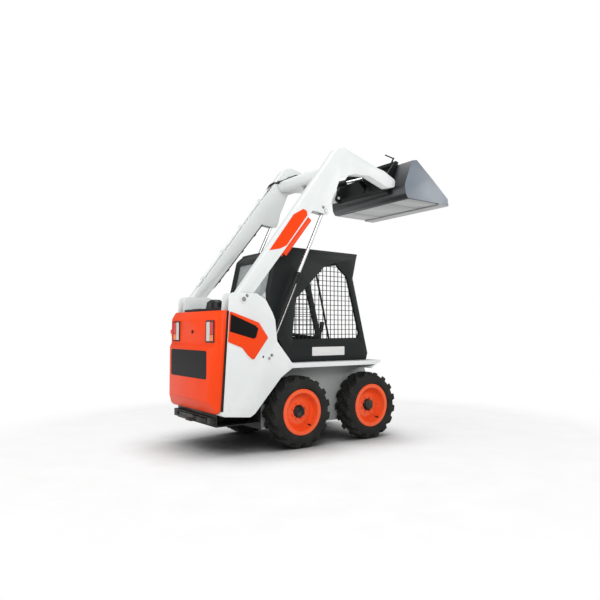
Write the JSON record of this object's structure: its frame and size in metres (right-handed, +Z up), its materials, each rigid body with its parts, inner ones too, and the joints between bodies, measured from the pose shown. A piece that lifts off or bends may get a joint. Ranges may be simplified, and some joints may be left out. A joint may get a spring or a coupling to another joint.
{
  "type": "skid steer loader",
  "caption": "Compact wheeled loader with raised lift arms, level bucket, screened open cab, rear engine door, hydraulic cylinders and turning wheels.",
  "frame": {"origin": "on the ground under the middle of the machine, halfway between the tailgate's rear face and the bucket's cutting edge, lift arms raised", "axes": "+X forward towards the bucket, +Y to the machine's left, +Z up"},
  "size_m": [2.98, 1.27, 3.1111],
  "materials": {
    "body_white": "gloss powder coat",
    "signal_orange": "gloss paint",
    "cab_charcoal": "satin powder coat",
    "black_steel": "satin black paint",
    "bright_steel": "polished rod",
    "bucket_grey": "semi-gloss paint, lightly worn",
    "black_plastic": "moulded, fine grain",
    "lamp_lens": "clear gloss lens",
    "seat_vinyl": "grained vinyl",
    "window_glass": "clear",
    "tyre_rubber": "matt rubber"
  },
  "bodies": {
    "chassis": {"main_frame": "body_white", "upright_right": "body_white", "upright_left": "body_white", "fenders": "body_white", "side_mouldings": "signal_orange", "rear_bumper": "black_steel", "engine": "black_steel", "axle_tubes": "black_steel", "cab_side_right": "cab_charcoal", "cab_side_left": "cab_charcoal", "screen_right": "cab_charcoal", "screen_left": "cab_charcoal", "cab_roof": "cab_charcoal", "cab_rear": "cab_charcoal", "rear_window": "window_glass", "seat_deck": "black_steel", "seat_cushion": "seat_vinyl", "seat_back": "seat_vinyl", "seat_bar": "black_steel", "control_levers": "black_plastic", "work_lamps": "black_plastic"},
    "tailgate": {"tailgate": "signal_orange", "tail_lamps": "lamp_lens"},
    "engine_cover": {"engine_cover": "black_steel"},
    "lift_arm": {"arm_right": "body_white", "arm_left": "body_white", "cross_tube": "body_white", "arm_support": "signal_orange", "arm_pipes": "bright_steel"},
    "lift_barrels": {"lift_barrels": "black_steel"},
    "lift_rods": {"lift_rods": "bright_steel"},
    "tilt_barrel": {"tilt_barrel": "black_steel"},
    "tilt_rod": {"tilt_rod": "bright_steel"},
    "bucket": {"quick_attach": "black_steel", "attach_levers": "black_steel", "bucket_shell": "bucket_grey", "cutting_edge": "bucket_grey"},
    "wheel_rear_right": {"rim_rear_right": "signal_orange", "tyre_rear_right": "tyre_rubber"},
    "wheel_rear_left": {"rim_rear_left": "signal_orange", "tyre_rear_left": "tyre_rubber"},
    "wheel_front_right": {"rim_front_right": "signal_orange", "tyre_front_right": "tyre_rubber"},
    "wheel_front_left": {"rim_front_left": "signal_orange", "tyre_front_left": "tyre_rubber"}
  },
  "joints": [
    {"name": "arm_lift", "type": "hinge", "parent": "chassis", "child": "lift_arm", "pos_m": [-1.21, 0, 1.395], "axis": [0, 1, 0], "range_deg": [0, 66]},
    {"name": "bucket_tilt", "type": "hinge", "parent": "lift_arm", "child": "bucket", "pos_m": [0.675, 0, 2.733], "axis": [0, -1, 0], "range_deg": [-40, 92]},
    {"name": "lift_barrel_swing", "type": "hinge", "parent": "chassis", "child": "lift_barrels", "pos_m": [-0.935, 0, 0.858], "axis": [0, 1, 0], "range_deg": [-0.5, 62]},
    {"name": "lift_rod_slide", "type": "slide", "parent": "lift_barrels", "child": "lift_rods", "axis": [0.4264, 0, 0.9046], "range_m": [-0.66, 0.005]},
    {"name": "tilt_barrel_swing", "type": "hinge", "parent": "lift_arm", "child": "tilt_barrel", "pos_m": [-0.05319, 0, 2.63286], "axis": [0, -1, 0], "range_deg": [-3, 5]},
    {"name": "tilt_rod_slide", "type": "slide", "parent": "tilt_barrel", "child": "tilt_rod", "axis": [0.9477, 0, 0.3191], "range_m": [-0.22, 0.1]},
    {"name": "tailgate_swing", "type": "hinge", "parent": "chassis", "child": "tailgate", "pos_m": [-1.41633, 0.545, 0.8], "axis": [0, 0, -1], "range_deg": [0, 100]},
    {"name": "engine_cover_lift", "type": "hinge", "parent": "chassis", "child": "engine_cover", "pos_m": [-0.941, 0, 1.315], "axis": [0, 1, 0], "range_deg": [0, 55]},
    {"name": "wheel_rear_right_spin", "type": "hinge", "parent": "chassis", "child": "wheel_rear_right", "pos_m": [-0.575, -0.482, 0.34], "axis": [0, 1, 0], "continuous": true},
    {"name": "wheel_rear_left_spin", "type": "hinge", "parent": "chassis", "child": "wheel_rear_left", "pos_m": [-0.575, 0.482, 0.34], "axis": [0, 1, 0], "continuous": true},
    {"name": "wheel_front_right_spin", "type": "hinge", "parent": "chassis", "child": "wheel_front_right", "pos_m": [0.305, -0.482, 0.34], "axis": [0, 1, 0], "continuous": true},
    {"name": "wheel_front_left_spin", "type": "hinge", "parent": "chassis", "child": "wheel_front_left", "pos_m": [0.305, 0.482, 0.34], "axis": [0, 1, 0], "continuous": true}
  ],
  "couplings": [
    {"joint": "lift_barrel_swing", "follows": "arm_lift", "ratio": 0.9028},
    {"joint": "lift_rod_slide", "follows": "arm_lift", "m_per_rad": -0.5615},
    {"joint": "tilt_barrel_swing", "follows": "bucket_tilt", "ratio": 0.0273},
    {"joint": "tilt_rod_slide", "follows": "bucket_tilt", "m_per_rad": -0.1352}
  ]
}
